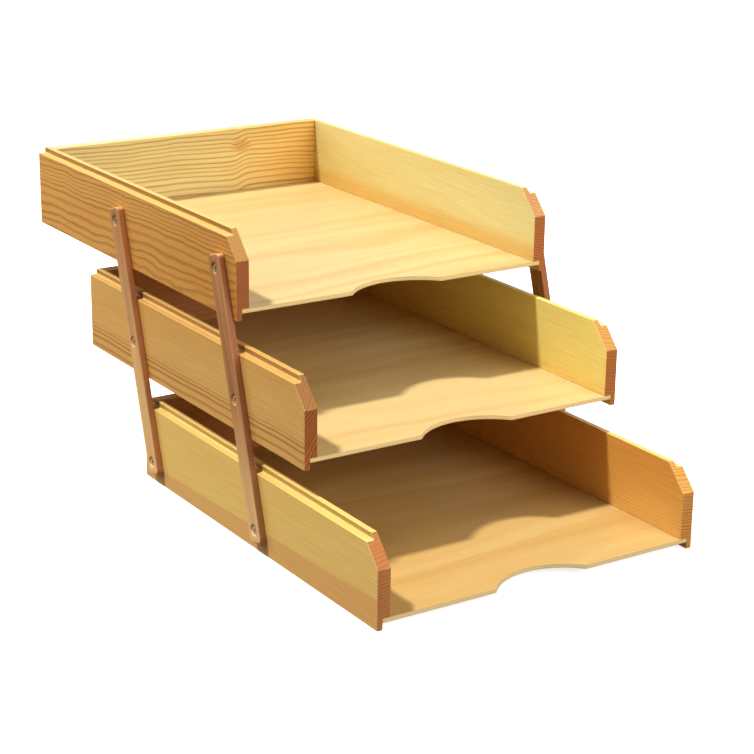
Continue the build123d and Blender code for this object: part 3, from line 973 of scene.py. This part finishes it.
bpy.ops.mesh.bevel(offset=head_arris, segments=head_arris_steps, affect="EDGES")
bpy.ops.object.mode_set(mode="OBJECT")

cross_low = Vector((-recess_slot / 2, -recess_slot / 2, -recess_slot / 2))
cross_high = Vector((recess_depth, recess_slot / 2, recess_slot / 2))
cross_punch = block("cross_punch", cross_low, cross_high)
for wing in (Vector((0, 1, 0)), Vector((0, -1, 0)), Vector((0, 0, 1)), Vector((0, 0, -1))):
    pick_faces(cross_punch, lambda middle, normal: normal.dot(wing) > squarely and
               abs(middle.y * wing.z) + abs(middle.z * wing.y) < recess_slot / 4)
    draw_out(wing * (recess_span - recess_slot) / 2)
pick_faces(cross_punch, lambda middle, normal: normal.x > squarely)
bpy.ops.transform.resize(value=(1, recess_foot, recess_foot), center_override=(recess_depth, 0, 0))
bpy.ops.object.mode_set(mode="OBJECT")
drill(brass_screw, cross_punch)
bpy.data.objects.remove(cross_punch)
bpy.ops.object.mode_set(mode="EDIT")
screw_mesh = bmesh.from_edit_mesh(brass_screw.data)
in_recess = screw_mesh.faces.layers.float.new("recess")
for face in screw_mesh.faces:
    spot = face.calc_center_median()
    sunk = head_arris < spot.x < recess_floor and Vector((0, spot.y, spot.z)).length < recess_reach
    face[in_recess] = 1.0 if sunk else 0.0
bmesh.update_edit_mesh(brass_screw.data)
bpy.ops.object.mode_set(mode="OBJECT")
bpy.ops.object.shade_smooth_by_angle(angle=fine_turn)


def dulled_brass(name, bright, greyed):
    """Brass that has greyed in the air: cloudy tarnish, fine scratches, and a darkened recess, partly grime
    and partly painted shade.
    """
    material, tree, surface = new_finish(name)
    place = tree.nodes.new("ShaderNodeTexCoord").outputs["Object"]
    tarnish = cloud(tree, place, 420, 420, detail=3, seed=3.0).outputs["Fac"]
    scratches = cloud(tree, place, 900, 5200, detail=1, seed=5.0).outputs["Fac"]
    recess_darkening = noted(tree, "recess")
    colour = tint(tree, spread(tree, tarnish, *tarnish_span), linear(*bright), linear(*greyed))
    # The recess is laid dark: partly grime, partly painted shade.
    colour = tint(tree, reckon(tree, "MULTIPLY", recess_darkening, recess_darkening_share), colour, linear(*recess_grime_and_shade))
    tarnished = spread(tree, tarnish, *tarnish_span, *tarnish_roughness)
    roughness = reckon(tree, "ADD", tarnished, reckon(tree, "MULTIPLY", recess_darkening, dirt_roughness))
    lay_on(tree, surface, colour, roughness, scratches, scratch_depth, scratch_strength)
    surface.inputs["Metallic"].default_value = brass_metal
    return material


brasses = {
    "bottom": dulled_brass("bottom_row_brass", (255, 222, 176), (228, 184, 138)),
    "middle": dulled_brass("middle_row_brass", (240, 210, 164), (206, 170, 124)),
    "top": dulled_brass("top_row_brass", (214, 192, 138), (158, 138, 92)),
}
head_place = slat_box_low.x + head_sunk
for place, turn in screw_turns.items():
    tier = place.split("_")[0]
    low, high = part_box(f"{place}_screw")
    on_right = place.endswith("right")
    seat = Vector((-head_place if on_right else head_place, (low.y + high.y) / 2, (low.z + high.z) / 2))
    screw = copy_of(brass_screw, f"{place}_brass_screw", seat, on_right, radians(turn))
    screw.data.materials.append(brasses[tier])
    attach(screw, f"{tier}_tray")
    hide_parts(f"{place}_screw")
bpy.data.objects.remove(brass_screw)


# Dowels and panel pins: two beech dowels in each rear corner, and flat-headed steel pins driven up through
# the bases. Their CAD solids have the right shape and stay, with the finish of beech and of drawn steel.
rod_pale = (214, 170, 122)
rod_dark = (188, 138, 94)
rod_end = (158, 108, 70)
rod_end_share = 0.6
rod_roughness = (0.7, 0.55)
rod_relief = 0.0001
rod_relief_strength = 0.3
steel_bright = (178, 178, 174)
steel_stained = (128, 112, 96)
steel_roughness = (0.28, 0.55)
steel_relief = 0.00005
steel_relief_strength = 0.3


def beech_dowel():
    """Beech dowel rod: straight pale grain along the rod and a rough darker end."""
    material, tree, surface = new_finish("beech_rod")
    given = tree.nodes.new("ShaderNodeTexCoord").outputs
    facing = step(tree, "ShaderNodeSeparateXYZ", {0: given["Normal"]}).outputs
    fibres = cloud(tree, given["Object"], 40, 1400, detail=3, seed=2.0).outputs["Fac"]
    end = spread(tree, reckon(tree, "ABSOLUTE", facing["X"]), 0.6, 0.8)
    colour = tint(tree, spread(tree, fibres, 0.35, 0.65), linear(*rod_pale), linear(*rod_dark))
    colour = tint(tree, reckon(tree, "MULTIPLY", end, rod_end_share), colour, linear(*rod_end))
    roughness = spread(tree, fibres, *fibre_span, *rod_roughness)
    lay_on(tree, surface, colour, roughness, fibres, rod_relief, rod_relief_strength)
    return material


def drawn_steel():
    """Bright drawn wire, clouded with a little rust."""
    material, tree, surface = new_finish("drawn_steel")
    place = tree.nodes.new("ShaderNodeTexCoord").outputs["Object"]
    stain = cloud(tree, place, 500, 500, detail=3, seed=8.0).outputs["Fac"]
    colour = tint(tree, spread(tree, stain, 0.45, 0.7), linear(*steel_bright), linear(*steel_stained))
    roughness = spread(tree, stain, 0.4, 0.7, *steel_roughness)
    lay_on(tree, surface, colour, roughness, stain, steel_relief, steel_relief_strength)
    surface.inputs["Metallic"].default_value = 1.0
    return material


rod_beech = beech_dowel()
pin_steel = drawn_steel()
for tier in tiers:
    for fastener, finish in (("corner_dowels", rod_beech), ("base_pins", pin_steel)):
        node = frame["nodes"][f"{tier}_{fastener}"]
        for slot in node.material_slots:
            slot.material = finish
